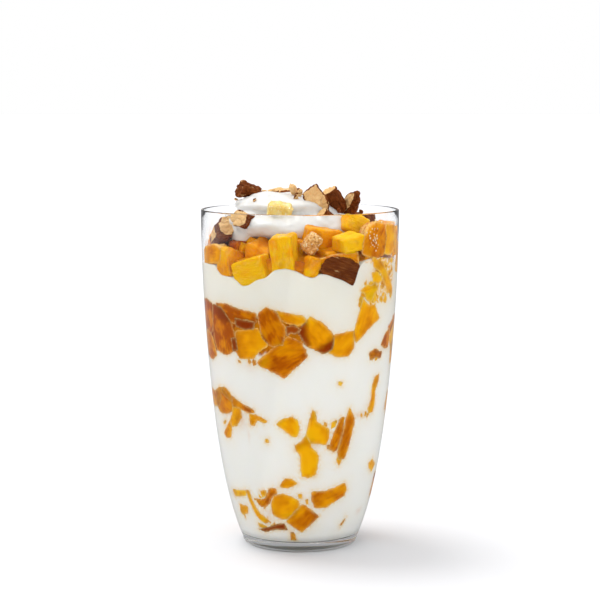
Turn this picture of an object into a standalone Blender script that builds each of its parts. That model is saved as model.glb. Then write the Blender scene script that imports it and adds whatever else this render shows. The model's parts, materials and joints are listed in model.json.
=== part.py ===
# Yogurt parfait in a tall tapered glass: layers of yogurt and diced mango, topped with mango cubes,
# a dollop of yogurt, chopped roasted almonds and candied ginger.
# Frame: metres, +Z up, -Y is the front, origin at the middle of the glass's foot.
import itertools
import math
import random

import bmesh
import bpy
from mathutils import Euler, Matrix, Vector

MM = 0.001

# The glass
GLASS_HEIGHT = 150 * MM
RIM_RADIUS = 44 * MM
WALL = 1.5 * MM
FLOOR_THICKNESS = 4.5 * MM
TAPER = 14 * MM  # how far the wall draws in from the rim to the foot
TAPER_CURVE = 1.88
TUCK = 5.2 * MM  # the quicker turn inwards just above the foot
TUCK_CURVE = 8
HEEL_RADIUS = 2.2 * MM
CORNER_RADIUS = 4 * MM  # between the inner wall and the floor
TURNS = 36  # facets round every turned piece
WALL_DIVISIONS = (0, 0.07, 0.2, 0.4, 0.68, 1)  # where the wall's curve is divided, as shares of its height

# What is kept between neighbouring pieces
GAP = 0.35 * MM
LAYER_GAP = 0.6 * MM  # measured upwards, where the layers slope steeply
CUT_GAP = 0.45 * MM  # a corner grows along its slanted normal, so this leaves about GAP at a face

CUBE_EDGE_ROUNDING = 0.9 * MM
CUBE_SKEW = 0.11  # how far a cube's corners stray, as a share of its sides
RANDOM_SEED = 7

# The surfaces between the layers, from the bottom up. Each has a level in millimetres and swells
# (angle, spread, rise) along the wall: degrees from the front towards +X, and millimetres.
SURFACES = {
    "yogurt_bottom_top": (18, ((-18, 34, -9), (38, 18, 8), (66, 12, 14))),
    "mango_bottom_top": (30, ((-60, 30, -2), (-8, 9, 5), (66, 14, 9))),
    "yogurt_lower_top": (56, ((-50, 10, -5), (6, 9, -18), (29, 9, -13), (57, 9, 7))),
    "mango_lower_top": (69, ((-62, 22, 4), (-22, 16, -7), (16, 12, -7), (40, 10, -4), (57, 8, 9))),
    "yogurt_middle_top": (87, ((-12, 10, -7), (10, 12, 4), (38, 12, 6))),
    "mango_middle_top": (108, ((-20, 8, 2), (20, 13, -8), (43, 9, 7), (64, 12, -9))),
    "yogurt_upper_top": (123, ((-36, 12, -6), (-10, 10, 2), (36, 13, -12), (75, 18, 3))),
    "mango_upper_top": (137, ((0, 999, -9), (66, 24, 3))),
}
BACK_WAVE = 2.6 * MM  # the layers' unevenness round the back
BACK_WAVE_COUNT = 5

# Each layer as (its name, the surface below, the surface above, its material, rows up its side)
LAYERS = (
    ("yogurt_bottom", None, "yogurt_bottom_top", "yogurt", (0, 0.1, 0.24, 0.55, 1)),
    ("mango_bottom", "yogurt_bottom_top", "mango_bottom_top", "mango", (0, 0.5, 1)),
    ("yogurt_lower", "mango_bottom_top", "yogurt_lower_top", "yogurt", (0, 0.5, 1)),
    ("mango_lower", "yogurt_lower_top", "mango_lower_top", "mango", (0, 1)),
    ("yogurt_middle", "mango_lower_top", "yogurt_middle_top", "yogurt", (0, 1)),
    ("mango_middle", "yogurt_middle_top", "mango_middle_top", "mango", (0, 1)),
    ("yogurt_upper", "mango_middle_top", "yogurt_upper_top", "yogurt", (0, 1)),
    ("mango_upper", "yogurt_upper_top", "mango_upper_top", "mango", (0, 1)),
)
RING = 0.72  # where a layer's faces are divided, as a share of its radius

# Mango cubes at the top, in millimetres and degrees: middle (x, y, z), sides, lean
FRONT_CUBES = (
    ((-36, -14, 130), (9, 11, 10), (5, 12, 25)),
    ((-30, -25, 128), (9, 11, 12), (-12, 28, 40)),
    ((-28, -16, 133), (9, 9, 9), (20, -10, 10)),
    ((-21, -33, 125), (16, 10, 11), (6, -16, -28)),
    ((-16, -25, 131), (14, 11, 12), (18, 22, -35)),
    ((-4, -35, 132), (14, 12, 18), (10, -6, -8)),
    ((6.5, -36.5, 127.5), (9, 9, 9), (-8, 14, 12)),
    ((9, -22, 138), (16, 12, 10), (8, 6, 20)),
    ((14, -28, 130), (12, 12, 11), (14, -20, 30)),
    ((21, -32, 136), (11, 10, 8), (12, -10, 35)),
    ((24, -19, 142), (12, 10, 10), (-14, 24, 15)),
    ((27, -24, 133), (9, 11, 13), (5, 18, 50)),
    ((36, -10, 137), (9, 13, 14), (4, -10, 70)),
    ((32, -25, 122), (9, 8, 10), (25, 15, 55)),
)
# Round the back the cubes follow each other along the wall
BACK_CUBES = 10
BACK_ARC = (82, 290)
BACK_INSET = 7.5 * MM
BACK_HEIGHT = 135 * MM
BACK_SIDES = (12 * MM, 11 * MM, 12 * MM)

# Chopped almonds: middle, lean, the share of the nut kept along its length (from, to), its girth
# and the share kept of its thickness
ALMOND_LENGTH = 22 * MM
ALMOND_WIDTH = 13 * MM
ALMOND_THICKNESS = 9 * MM
ALMONDS = (
    ((-34, -12, 139.5), (62, -35, -60), (0.1, 0.66), 1.0, 1.0),
    ((-24, -19, 146), (25, 14, 50), (0.3, 0.68), 0.85, 0.9),
    ((-22, 3, 158), (14, 10, 20), (0.5, 0.95), 0.8, 1.0),
    ((-9, 11, 156), (-8, 6, 170), (0.2, 0.7), 0.75, 0.8),
    ((7.5, -12, 153), (78, -117, 8), (0.08, 0.74), 0.76, 0.6),
    ((16, -3, 154), (40, 52, 12), (0.3, 0.8), 0.75, 1.0),
    ((23, -1, 153), (65, -35, -70), (0.35, 0.95), 0.9, 1.0),
    ((12, -16, 148), (10, 30, 20), (0.62, 0.9), 0.6, 1.0),
    ((17, -36, 126), (96, 20, 24), (0.05, 0.85), 0.9, 0.9),
    ((-16, 24, 147), (24, 14, 110), (0.1, 0.6), 0.95, 0.7),
    ((13, 21, 149), (-30, 20, 40), (0.2, 0.7), 0.9, 1.0),
    ((29, 19, 142.5), (25, 10, -30), (0.4, 0.95), 0.85, 1.0),
)
# Candied ginger: middle, sides, lean
GINGER = (
    ((-9, -18, 150), (10, 6, 7), (20, 8, 10)),
    ((5, -33, 137), (6, 6, 9), (24, 30, 15)),
    ((33, -22, 138), (7, 6, 9), (10, 25, 40)),
    ((4, 18, 152), (8, 7, 6), (-22, 10, 35)),
)

# The dollop of yogurt
DOLLOP_MIDDLE = Vector((-5.5, -1, 146)) * MM
DOLLOP_RADII = Vector((25.5, 22, 11.5)) * MM
DOLLOP_TILT = math.radians(4)  # its right side hangs lower
DOLLOP_BOXINESS = 0.85
FOLD_DEPTH = 0.09  # the crease between its two lobes, as a share of its radius

# Base colour, roughness, metallic
LOOKS = {
    "glass": ((0.90, 0.94, 0.94), 0.03, 0.0),
    "yogurt": ((0.93, 0.92, 0.89), 0.35, 0.0),
    "mango": ((0.95, 0.56, 0.04), 0.25, 0.0),
    "almond": ((0.33, 0.14, 0.06), 0.60, 0.0),
    "ginger": ((0.90, 0.78, 0.36), 0.45, 0.0),
}


def clear_scene():
    for item in list(bpy.data.objects):
        bpy.data.objects.remove(item, do_unlink=True)


def new_collection(name, for_cutters=False):
    collection = bpy.data.collections.new(name)
    bpy.context.scene.collection.children.link(collection)
    collection.hide_render = for_cutters
    return collection


def material(look):
    made = bpy.data.materials.get(look)
    if made is None:
        colour, roughness, metallic = LOOKS[look]
        made = bpy.data.materials.new(look)
        made.use_nodes = True
        shader = made.node_tree.nodes["Principled BSDF"]
        shader.inputs["Base Color"].default_value = (*colour, 1)
        shader.inputs["Roughness"].default_value = roughness
        shader.inputs["Metallic"].default_value = metallic
        if look == "glass":
            shader.inputs["Transmission Weight"].default_value = 1
    return made


def add_object(name, mesh, collection, look):
    item = bpy.data.objects.new(name, mesh)
    collection.objects.link(item)
    mesh.materials.clear()
    mesh.materials.append(material(look))
    return item


def object_from(bm, name, collection, look, place=Vector()):
    """An object placed at its own middle, from a shape modelled where it lies."""
    mesh = bpy.data.meshes.new(name)
    bm.transform(Matrix.Translation(-place))
    bm.to_mesh(mesh)
    bm.free()
    item = add_object(name, mesh, collection, look)
    item.location = place
    return item


def turned_mesh(name, profile):
    """The solid of revolution of (radius, height) points that run down its outer side."""
    mesh = bpy.data.meshes.new(name)
    places = [(radius, 0, height) for radius, height in profile]
    edges = [(i, i + 1) for i in range(len(places) - 1)]
    mesh.from_pydata(places, edges, [])
    blank = bpy.data.objects.new(name + "_blank", mesh)
    bpy.context.scene.collection.objects.link(blank)
    screw = blank.modifiers.new("Turn", "SCREW")
    screw.steps = screw.render_steps = TURNS
    screw.use_merge_vertices = True
    screw.merge_threshold = 0.00005
    bpy.context.view_layer.update()
    graph = bpy.context.evaluated_depsgraph_get()
    made = bpy.data.meshes.new_from_object(blank.evaluated_get(graph))
    bpy.data.objects.remove(blank)
    made.name = name
    return made


# The glass


def outer_radius(height):
    below_rim = 1 - height / GLASS_HEIGHT
    return RIM_RADIUS - TAPER * below_rim**TAPER_CURVE - TUCK * below_rim**TUCK_CURVE


def inner_radius(height):
    """The cavity's radius, with the rounded corner where the wall meets the floor."""
    radius = outer_radius(min(height, GLASS_HEIGHT)) - WALL
    above_floor = height - FLOOR_THICKNESS
    if above_floor < CORNER_RADIUS:
        drop = 1 - above_floor / CORNER_RADIUS
        radius -= CORNER_RADIUS * (1 - math.sqrt(max(0, 1 - drop * drop)))
    return radius


def inner_profile():
    inside = [(0, FLOOR_THICKNESS)]
    for turn in (0, 45, 90):
        height = FLOOR_THICKNESS + CORNER_RADIUS * (1 - math.cos(math.radians(turn)))
        inside.append((inner_radius(height), height))
    lowest = inside[-1][1]
    for share in WALL_DIVISIONS[1:]:
        height = lowest + (GLASS_HEIGHT - WALL - lowest) * share
        inside.append((inner_radius(height), height))
    return inside


def cavity_radius(height):
    """The radius between the points that the inner wall is turned from."""
    inside = inner_profile()
    for (radius, low), (next_radius, high) in itertools.pairwise(inside):
        if low <= height < high:
            return radius + (next_radius - radius) * (height - low) / (high - low)
    return inside[-1][0]


def glass_profile():
    inside = inner_profile()
    shoulder = GLASS_HEIGHT - WALL
    rim_middle = RIM_RADIUS - WALL / 2
    rim = []
    for turn in (120, 60):
        across = math.cos(math.radians(turn)) * WALL / 2
        up = (math.sin(math.radians(turn)) / math.sin(math.radians(60)) - 1) * WALL / 2
        rim.append((rim_middle + across, GLASS_HEIGHT + up))
    outside = []
    for share in reversed(WALL_DIVISIONS):
        height = HEEL_RADIUS + (shoulder - HEEL_RADIUS) * share
        outside.append((outer_radius(height), height))
    heel_middle = outer_radius(HEEL_RADIUS) - HEEL_RADIUS
    for turn in (45, 90):
        across = math.cos(math.radians(turn)) * HEEL_RADIUS
        down = math.sin(math.radians(turn)) * HEEL_RADIUS
        outside.append((heel_middle + across, HEEL_RADIUS - down))
    return inside + rim + outside + [(0, 0)]


# The layers


def surface_height(surface, angle, share):
    """The height of a surface at an angle in degrees and a share of the radius."""
    level, swells = SURFACES[surface]
    height = level * MM
    for middle, spread, rise in swells:
        away = (angle - middle + 180) % 360 - 180
        height += rise * MM * math.exp(-((away / spread) ** 2)) * share**2
    turn = math.radians(angle)
    at_back = (1 - math.cos(turn)) / 2
    phase = level
    height += BACK_WAVE * at_back * math.sin(BACK_WAVE_COUNT * turn + phase) * share**2
    return height


def layer_mesh(name, below, above, rows):
    """A disc turned in a unit space, then fitted to its two surfaces and to the glass."""
    top = [(0, 1), (RING, 1)]
    side = [(1, row) for row in reversed(rows)]
    bottom = [(RING, 0), (0, 0)]
    mesh = turned_mesh(name, top + side + bottom)
    for vertex in mesh.vertices:
        share = math.hypot(vertex.co.x, vertex.co.y)
        turn = math.atan2(vertex.co.x, -vertex.co.y)
        angle = math.degrees(turn)
        low = FLOOR_THICKNESS + GAP
        if below is not None:
            low = surface_height(below, angle, share) + LAYER_GAP / 2
        high = surface_height(above, angle, share) - LAYER_GAP / 2
        height = low + (high - low) * vertex.co.z
        radius = share * (cavity_radius(height) - GAP)
        vertex.co = (radius * math.sin(turn), -radius * math.cos(turn), height)
    # Two surfaces that face each other fold along the same diagonals.
    bm = bmesh.new()
    bm.from_mesh(mesh)
    bmesh.ops.triangulate(bm, faces=bm.faces, quad_method="SHORT_EDGE")
    bm.to_mesh(mesh)
    bm.free()
    return mesh


# Loose pieces: each is convex, and kept as a closed hull


def hull_of(points):
    """The closed convex solid round some points, with its flat faces whole."""
    bm = bmesh.new()
    for point in points:
        bm.verts.new(point)
    bmesh.ops.remove_doubles(bm, verts=bm.verts, dist=0.02 * MM)
    made = bmesh.ops.convex_hull(bm, input=bm.verts)
    inner = [v for v in made["geom_interior"] + made["geom_unused"] if isinstance(v, bmesh.types.BMVert)]
    bmesh.ops.delete(bm, geom=list(set(inner)), context="VERTS")
    bmesh.ops.dissolve_limit(bm, angle_limit=math.radians(2), verts=bm.verts, edges=bm.edges)
    bmesh.ops.recalc_face_normals(bm, faces=bm.faces)
    return bm


def hulled(bm):
    whole = hull_of([v.co.copy() for v in bm.verts])
    bm.free()
    return whole


def clipped(bm, point, normal):
    """What lies behind a plane."""
    everything = bm.verts[:] + bm.edges[:] + bm.faces[:]
    bmesh.ops.bisect_plane(bm, geom=everything, plane_co=point, plane_no=normal, clear_outer=True)
    return hulled(bm)


def placed(bm, middle, lean):
    turn = Euler([math.radians(a) for a in lean]).to_matrix().to_4x4()
    bm.transform(Matrix.Translation(middle) @ turn)
    return hulled(bm)


def cube_piece(sides, middle, lean, chance):
    bm = bmesh.new()
    bmesh.ops.create_cube(bm, size=1)
    for vertex in bm.verts:
        stray = Vector([1 + chance.uniform(-CUBE_SKEW, CUBE_SKEW) for _ in range(3)])
        vertex.co = vertex.co * stray * Vector(sides)
    return placed(bm, middle, lean)


def almond_piece(kept, girth, thickness_kept, middle, lean):
    """A nut narrowing to one tip, chopped across at both ends of the share kept, and perhaps split."""
    bm = bmesh.new()
    bmesh.ops.create_uvsphere(bm, u_segments=8, v_segments=6, radius=0.5)
    for vertex in bm.verts:
        along = vertex.co.z + 0.5
        narrowing = girth * (1 - 0.45 * max(0, along - 0.45))
        vertex.co = (
            along * ALMOND_LENGTH,
            vertex.co.x * ALMOND_WIDTH * narrowing,
            vertex.co.y * ALMOND_THICKNESS * narrowing,
        )
    start, end = (share * ALMOND_LENGTH for share in kept)
    split = (thickness_kept - 0.5) * ALMOND_THICKNESS * girth
    bm = clipped(bm, (start, 0, 0), (-1, 0, 0.25))
    bm = clipped(bm, (end, 0, 0), (1, 0.2, 0.1))
    bm = clipped(bm, (0, 0, split), (0, 0, 1))
    bm.transform(Matrix.Translation((-(start + end) / 2, 0, 0)))
    return placed(bm, middle, lean)


def separate(a, b):
    """Cuts off the overlap of two pieces at the plane across which it is thinnest."""
    bm_a, bm_b = a["bm"], b["bm"]
    ways = [face.normal.copy() for face in bm_a.faces] + [-face.normal for face in bm_b.faces]
    ways.append((b["middle"] - a["middle"]).normalized())
    places_a = [v.co for v in bm_a.verts]
    places_b = [v.co for v in bm_b.verts]
    overlaps = []
    for way in ways:
        end = max(place.dot(way) for place in places_a)
        start = min(place.dot(way) for place in places_b)
        overlaps.append((end - start, start, end, way))
    depth, start, end, way = min(overlaps, key=lambda overlap: overlap[0])
    if depth < -GAP:
        return
    if a["hard"] == b["hard"]:
        middle = (start + end) / 2
        start, end = middle + GAP / 2, middle - GAP / 2
    if not a["hard"] or b["hard"]:
        a["bm"] = clipped(bm_a, way * (start - GAP), way)
    if not b["hard"] or a["hard"]:
        b["bm"] = clipped(bm_b, way * (end + GAP), -way)


def press_to_wall(piece):
    """Cuts a piece along the nearest facets of the inner wall."""
    middle = piece["middle"]
    facet = 2 * math.pi / TURNS
    nearest = math.floor(math.atan2(middle.x, -middle.y) / facet) + 0.5
    slope = (cavity_radius(middle.z + 4 * MM) - cavity_radius(middle.z - 4 * MM)) / (8 * MM)
    distance = cavity_radius(middle.z) * math.cos(facet / 2) - GAP
    for step in (-2, -1, 0, 1, 2):
        angle = (nearest + step) * facet
        outwards = Vector((math.sin(angle), -math.cos(angle), 0))
        point = outwards * distance + Vector((0, 0, middle.z))
        piece["bm"] = clipped(piece["bm"], point, outwards - Vector((0, 0, slope)))


def rounded(bm):
    """The hull with a small flat along each edge."""
    whole = bm.copy()
    geometry = whole.verts[:] + whole.edges[:]
    rounding = CUBE_EDGE_ROUNDING
    bmesh.ops.bevel(whole, geom=geometry, offset=rounding, segments=1, affect="EDGES", clamp_overlap=True)
    return hulled(whole)


def new_piece(name, look, bm, middle, hard):
    return {"name": name, "look": look, "bm": bm, "middle": middle, "hard": hard}


def loose_pieces():
    chance = random.Random(RANDOM_SEED)
    pieces = []
    cubes = [(Vector(m) * MM, [s * MM for s in sides], lean) for m, sides, lean in FRONT_CUBES]
    for step in range(BACK_CUBES):
        start, end = BACK_ARC
        turn = math.radians(start + (end - start) * step / (BACK_CUBES - 1))
        radius = inner_radius(BACK_HEIGHT) - BACK_INSET - chance.uniform(0, 3) * MM
        height = BACK_HEIGHT + chance.uniform(-2.5, 2.5) * MM
        middle = Vector((radius * math.sin(turn), -radius * math.cos(turn), height))
        lean = (chance.uniform(-25, 25), chance.uniform(-25, 25), chance.uniform(0, 90))
        cubes.append((middle, BACK_SIDES, lean))
    for number, (middle, sides, lean) in enumerate(cubes, 1):
        bm = cube_piece(sides, middle, lean, chance)
        pieces.append(new_piece(f"mango_cube_{number:02}", "mango", bm, middle, False))
    for number, (middle, lean, kept, girth, thickness_kept) in enumerate(ALMONDS, 1):
        middle = Vector(middle) * MM
        bm = almond_piece(kept, girth, thickness_kept, middle, lean)
        pieces.append(new_piece(f"almond_piece_{number:02}", "almond", bm, middle, True))
    for number, (middle, sides, lean) in enumerate(GINGER, 1):
        middle = Vector(middle) * MM
        bm = cube_piece([s * MM for s in sides], middle, lean, chance)
        pieces.append(new_piece(f"ginger_piece_{number:02}", "ginger", bm, middle, True))
    for piece in pieces:
        press_to_wall(piece)
    for a, b in itertools.combinations(pieces, 2):
        separate(a, b)
    return pieces


# The dollop


def dollop_mesh():
    bm = bmesh.new()
    bmesh.ops.create_uvsphere(bm, u_segments=20, v_segments=11, radius=1)
    for vertex in bm.verts:
        way = vertex.co.normalized()
        turn = math.atan2(way.y, way.x)
        swirl = way.z - 0.3 - 0.3 * math.sin(turn + 0.6)
        crease = math.exp(-((swirl / 0.25) ** 2)) * (1 - abs(way.z) ** 4)
        lobes = 1 + 0.05 * math.sin(2 * turn + 0.8) + 0.035 * math.sin(3 * turn - 1)
        across = math.hypot(way.x, way.y) ** DOLLOP_BOXINESS * (lobes - FOLD_DEPTH * crease)
        up = math.copysign(abs(way.z) ** DOLLOP_BOXINESS, way.z)
        place = Vector((math.cos(turn) * across, math.sin(turn) * across, up))
        vertex.co = place * DOLLOP_RADII
    bm.transform(Matrix.Translation(DOLLOP_MIDDLE) @ Matrix.Rotation(DOLLOP_TILT, 4, "Y"))
    return bm


# Cutting one piece to make room for another


def add_cutter(name, bm, collection, place):
    """A solid grown by the gap that is kept round it."""
    bm.normal_update()
    grown = {v: v.co + v.normal * CUT_GAP for v in bm.verts}
    for vertex, place in grown.items():
        vertex.co = place
    cutter = object_from(bm, name + "_cutter", collection, "yogurt", place)
    cutter.hide_render = True
    cutter.display_type = "WIRE"
    return cutter


def make_room(item, cutters):
    for cutter in cutters:
        if not boxes_meet(item, cutter):
            continue
        cut = item.modifiers.new("Room for " + cutter.name, "BOOLEAN")
        cut.operation = "DIFFERENCE"
        # Neighbouring cutters have faces almost in line, where EXACT fails.
        cut.solver = "MANIFOLD"
        cut.object = cutter
    keep_largest_body(item)


def keep_largest_body(item):
    """Applies the cuts and drops the crumbs that they leave."""
    bpy.context.view_layer.update()
    graph = bpy.context.evaluated_depsgraph_get()
    bm = bmesh.new()
    bm.from_mesh(item.evaluated_get(graph).data)
    left = set(bm.verts)
    bodies = []
    while left:
        body = {left.pop()}
        edge_of_body = list(body)
        while edge_of_body:
            for edge in edge_of_body.pop().link_edges:
                for vertex in edge.verts:
                    if vertex in left:
                        left.discard(vertex)
                        body.add(vertex)
                        edge_of_body.append(vertex)
        bodies.append(body)
    largest = max(bodies, key=len)
    crumbs = [v for v in bm.verts if v not in largest]
    bmesh.ops.delete(bm, geom=crumbs, context="VERTS")
    item.modifiers.clear()
    bm.to_mesh(item.data)
    bm.free()


def boxes_meet(a, b):
    low_a, high_a = box_of(a)
    low_b, high_b = box_of(b)
    return all(low_a[i] < high_b[i] and low_b[i] < high_a[i] for i in range(3))


def box_of(item):
    places = [v.co + item.location for v in item.data.vertices]
    low = [min(p[i] for p in places) for i in range(3)]
    high = [max(p[i] for p in places) for i in range(3)]
    return low, high


def main():
    clear_scene()
    parfait = new_collection("yogurt_parfait")
    cutters = new_collection("cutters", for_cutters=True)

    glass = turned_mesh("glass", glass_profile())
    glass.shade_smooth()
    glass.set_sharp_from_angle(angle=math.radians(40))
    add_object("glass", glass, parfait, "glass")

    layers = {}
    for name, below, above, look, rows in LAYERS:
        layers[name] = add_object(name, layer_mesh(name, below, above, rows), parfait, look)

    room = []
    for piece in loose_pieces():
        look = piece["look"]
        shape = piece["bm"].copy() if look == "almond" else rounded(piece["bm"])
        object_from(shape, piece["name"], parfait, look, piece["middle"])
        room.append(add_cutter(piece["name"], piece["bm"], cutters, piece["middle"]))

    dollop = object_from(dollop_mesh(), "yogurt_dollop", parfait, "yogurt", DOLLOP_MIDDLE)
    dollop_room = add_cutter("yogurt_dollop", dollop_mesh(), cutters, DOLLOP_MIDDLE)
    make_room(dollop, room)
    make_room(layers["mango_upper"], [dollop_room, *room])
    make_room(layers["yogurt_upper"], room)


main()
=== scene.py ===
# Yogurt parfait in a tall tapered glass: yogurt and mango in layers, topped with mango cubes,
# a dollop of yogurt, chopped roasted almonds and candied ginger.
import json
import math
import random

import bpy
import numpy as np
from mathutils import Euler, Matrix, Vector, noise
from mathutils.bvhtree import BVHTree

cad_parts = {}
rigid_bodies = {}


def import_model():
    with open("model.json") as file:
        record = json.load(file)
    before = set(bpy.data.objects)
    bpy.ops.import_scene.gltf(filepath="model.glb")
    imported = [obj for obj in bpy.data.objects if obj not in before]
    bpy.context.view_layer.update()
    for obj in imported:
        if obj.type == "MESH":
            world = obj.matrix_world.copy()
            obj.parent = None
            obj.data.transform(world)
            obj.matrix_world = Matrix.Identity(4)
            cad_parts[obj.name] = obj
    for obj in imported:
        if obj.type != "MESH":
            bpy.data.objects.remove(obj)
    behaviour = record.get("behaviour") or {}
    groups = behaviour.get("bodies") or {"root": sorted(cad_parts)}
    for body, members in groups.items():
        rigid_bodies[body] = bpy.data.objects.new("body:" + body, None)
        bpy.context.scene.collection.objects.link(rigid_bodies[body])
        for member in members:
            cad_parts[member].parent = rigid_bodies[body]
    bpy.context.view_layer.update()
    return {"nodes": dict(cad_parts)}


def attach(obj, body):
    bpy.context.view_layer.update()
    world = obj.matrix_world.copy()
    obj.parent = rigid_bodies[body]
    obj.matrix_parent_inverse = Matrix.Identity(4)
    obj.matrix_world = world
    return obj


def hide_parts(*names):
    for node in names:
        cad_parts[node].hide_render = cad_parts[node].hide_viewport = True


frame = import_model()
nodes = frame["nodes"]
mm = 0.001
scene = bpy.context.scene


# Small tools

def deselectAll():
    for obj in bpy.context.view_layer.objects:
        obj.select_set(False)


def activate(obj):
    deselectAll()
    obj.select_set(True)
    bpy.context.view_layer.objects.active = obj


def modify(obj, kind, **settings):
    modifier = obj.modifiers.new(kind.title(), kind)
    for key, value in settings.items():
        setattr(modifier, key, value)
    activate(obj)
    bpy.ops.object.modifier_apply(modifier=modifier.name)


def vectorsOf(obj, field):
    vectors = np.empty(len(obj.data.vertices) * 3, np.float32)
    obj.data.vertices.foreach_get(field, vectors)
    return vectors.reshape(-1, 3).astype(np.float64)


def placesOf(obj):
    return vectorsOf(obj, "co")


def normalsOf(obj):
    return vectorsOf(obj, "normal")


def setPlaces(obj, places):
    obj.data.vertices.foreach_set("co", np.ascontiguousarray(places, np.float32).ravel())
    obj.data.update()


def setAttributes(obj, **attributes):
    # each is one number for the whole object, or numbers or vectors for its points
    count = len(obj.data.vertices)
    for name, values in attributes.items():
        values = np.asarray(values, np.float32)
        values = np.full(count, values) if values.ndim == 0 else values
        kind, field = ("FLOAT", "value") if values.ndim == 1 else ("FLOAT_VECTOR", "vector")
        obj.data.attributes.new(name, kind, "POINT").data.foreach_set(field, values.ravel())


def added(primitive, **settings):
    deselectAll()
    primitive(**settings)
    return bpy.context.active_object


def inEditMode(obj, **operators):
    # each operator of bpy.ops.mesh with its settings, on all of the mesh
    activate(obj)
    bpy.ops.object.mode_set(mode="EDIT")
    bpy.ops.mesh.select_all(action="SELECT")
    for name, settings in operators.items():
        getattr(bpy.ops.mesh, name)(**settings)
    bpy.ops.object.mode_set(mode="OBJECT")


def mergeAndFaceOut(obj, distance=1e-6):
    inEditMode(obj, remove_doubles={"threshold": distance}, normals_make_consistent={"inside": False})


def remeshed(obj, voxel, smoothing):
    # an even mesh, with this voxel size in millimetres; gives its places in millimetres and its normals
    modify(obj, "REMESH", mode="VOXEL", voxel_size=voxel * mm, use_smooth_shade=True)
    modify(obj, "SMOOTH", factor=0.5, iterations=smoothing)
    return placesOf(obj) / mm, normalsOf(obj)


def treeOf(mesh):
    return BVHTree.FromPolygons([v.co.copy() for v in mesh.vertices], [tuple(f.vertices) for f in mesh.polygons])


def turned(chance, *limits):
    # a rotation by three random angles, each between its limits
    return np.array(Euler([chance.uniform(low, high) for low, high in limits]).to_matrix())


def shadeSmooth(obj):
    activate(obj)
    bpy.ops.object.shade_smooth()


def joined(pieces, name):
    deselectAll()
    for piece in pieces:
        piece.select_set(True)
    bpy.context.view_layer.objects.active = pieces[0]
    bpy.ops.object.join()
    pieces[0].name = pieces[0].data.name = name
    return pieces[0]


def copyOf(obj, name):
    twin = bpy.data.objects.new(name, obj.data.copy())
    scene.collection.objects.link(twin)
    return twin


def bumps(places, size, seed):
    # smooth noise from -1 to 1 at each place, with lumps of about this size
    start = Vector((seed * 7.31 % 50, seed * 3.17 % 50, seed * 1.73 % 50))
    return np.array([noise.noise(Vector(place) / size + start) for place in places])


def step(values, low, high):
    share = np.clip((values - low) / (high - low), 0, 1)
    return share * share * (3 - 2 * share)


def finishPiece(obj, material, slot, *replaced):
    obj.data.materials.clear()
    obj.data.materials.append(material)
    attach(obj, "root")
    if replaced:
        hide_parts(*replaced)
    print(f"{obj.name}: {sum(len(face.vertices) - 2 for face in obj.data.polygons)} triangles")


# Shader maths

class Signal:
    def __init__(self, finish, socket):
        self.finish, self.socket = finish, socket

    def maths(self, operation, *values):
        return self.finish.node("ShaderNodeMath", {"operation": operation}, dict(enumerate(values)))

    def __add__(self, other):
        return self.maths("ADD", self, other)

    def __mul__(self, other):
        return self.maths("MULTIPLY", self, other)

    def __sub__(self, other):
        return self.maths("SUBTRACT", self, other)

    def __rsub__(self, other):
        return self.maths("SUBTRACT", other, self)

    __radd__, __rmul__ = __add__, __mul__

    def smooth(self, low, high):
        return self.finish.node(
            "ShaderNodeMapRange",
            {"interpolation_type": "SMOOTHSTEP"},
            {"Value": self, "From Min": low, "From Max": high},
        )


class Finish:
    def __init__(self, name, owner=None):
        self.material = owner or bpy.data.materials.new(name)
        self.material.use_nodes = True
        self.tree = self.material.node_tree
        self.tree.nodes.clear()

    def node(self, kind, settings, sockets, output=0):
        made = self.tree.nodes.new(kind)
        for key, value in settings.items():
            if key == "stops":
                ramp = made.color_ramp
                ramp.elements[0].position, ramp.elements[0].color = value[0][0], (*value[0][1], 1)
                ramp.elements[1].position, ramp.elements[1].color = value[-1][0], (*value[-1][1], 1)
                for position, colour in value[1:-1]:
                    ramp.elements.new(position).color = (*colour, 1)
            else:
                setattr(made, key, value)
        for key, value in sockets.items():
            if isinstance(value, Signal):
                self.tree.links.new(value.socket, made.inputs[key])
            else:
                made.inputs[key].default_value = value
        return Signal(self, made.outputs[output])

    def place(self):
        return self.node("ShaderNodeTexCoord", {}, {}, "Object")

    def attribute(self, name, output="Fac"):
        return self.node("ShaderNodeAttribute", {"attribute_name": name}, {}, output)

    def scaled(self, vector, scale):
        return self.node("ShaderNodeMapping", {"vector_type": "POINT"}, {"Vector": vector, "Scale": scale})

    def noise(self, vector, scale, detail=3.0, roughness=0.55, distortion=0.0):
        return self.node(
            "ShaderNodeTexNoise",
            {},
            {"Vector": vector, "Scale": scale, "Detail": detail, "Roughness": roughness, "Distortion": distortion},
        )

    def ramp(self, value, stops):
        return self.node("ShaderNodeValToRGB", {"stops": stops}, {"Fac": value})

    def mix(self, factor, first, second):
        pick = lambda colour: colour if isinstance(colour, Signal) else (*colour, 1)
        return self.node("ShaderNodeMix", {"data_type": "RGBA"}, {0: factor, 6: pick(first), 7: pick(second)}, 2)

    def bump(self, height, distance):
        return self.node("ShaderNodeBump", {}, {"Height": height, "Distance": distance, "Strength": 1.0}, "Normal")

    def principled(self, soft=None, **sockets):
        # soft: the weight, radius and scale of the light that spreads below the surface
        if soft:
            sockets |= dict(zip(("Subsurface_Weight", "Subsurface_Radius", "Subsurface_Scale"), soft))
        sockets = {key.replace("_", " "): value for key, value in sockets.items()}
        return self.node("ShaderNodeBsdfPrincipled", {}, sockets)

    def output(self, shader, kind="ShaderNodeOutputMaterial"):
        end = self.tree.nodes.new(kind)
        self.tree.links.new(shader.socket, end.inputs["Surface"])
        return self.material

    def surface(self, **sockets):
        return self.output(self.principled(**sockets))


# The camera, the light and the floor

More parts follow.
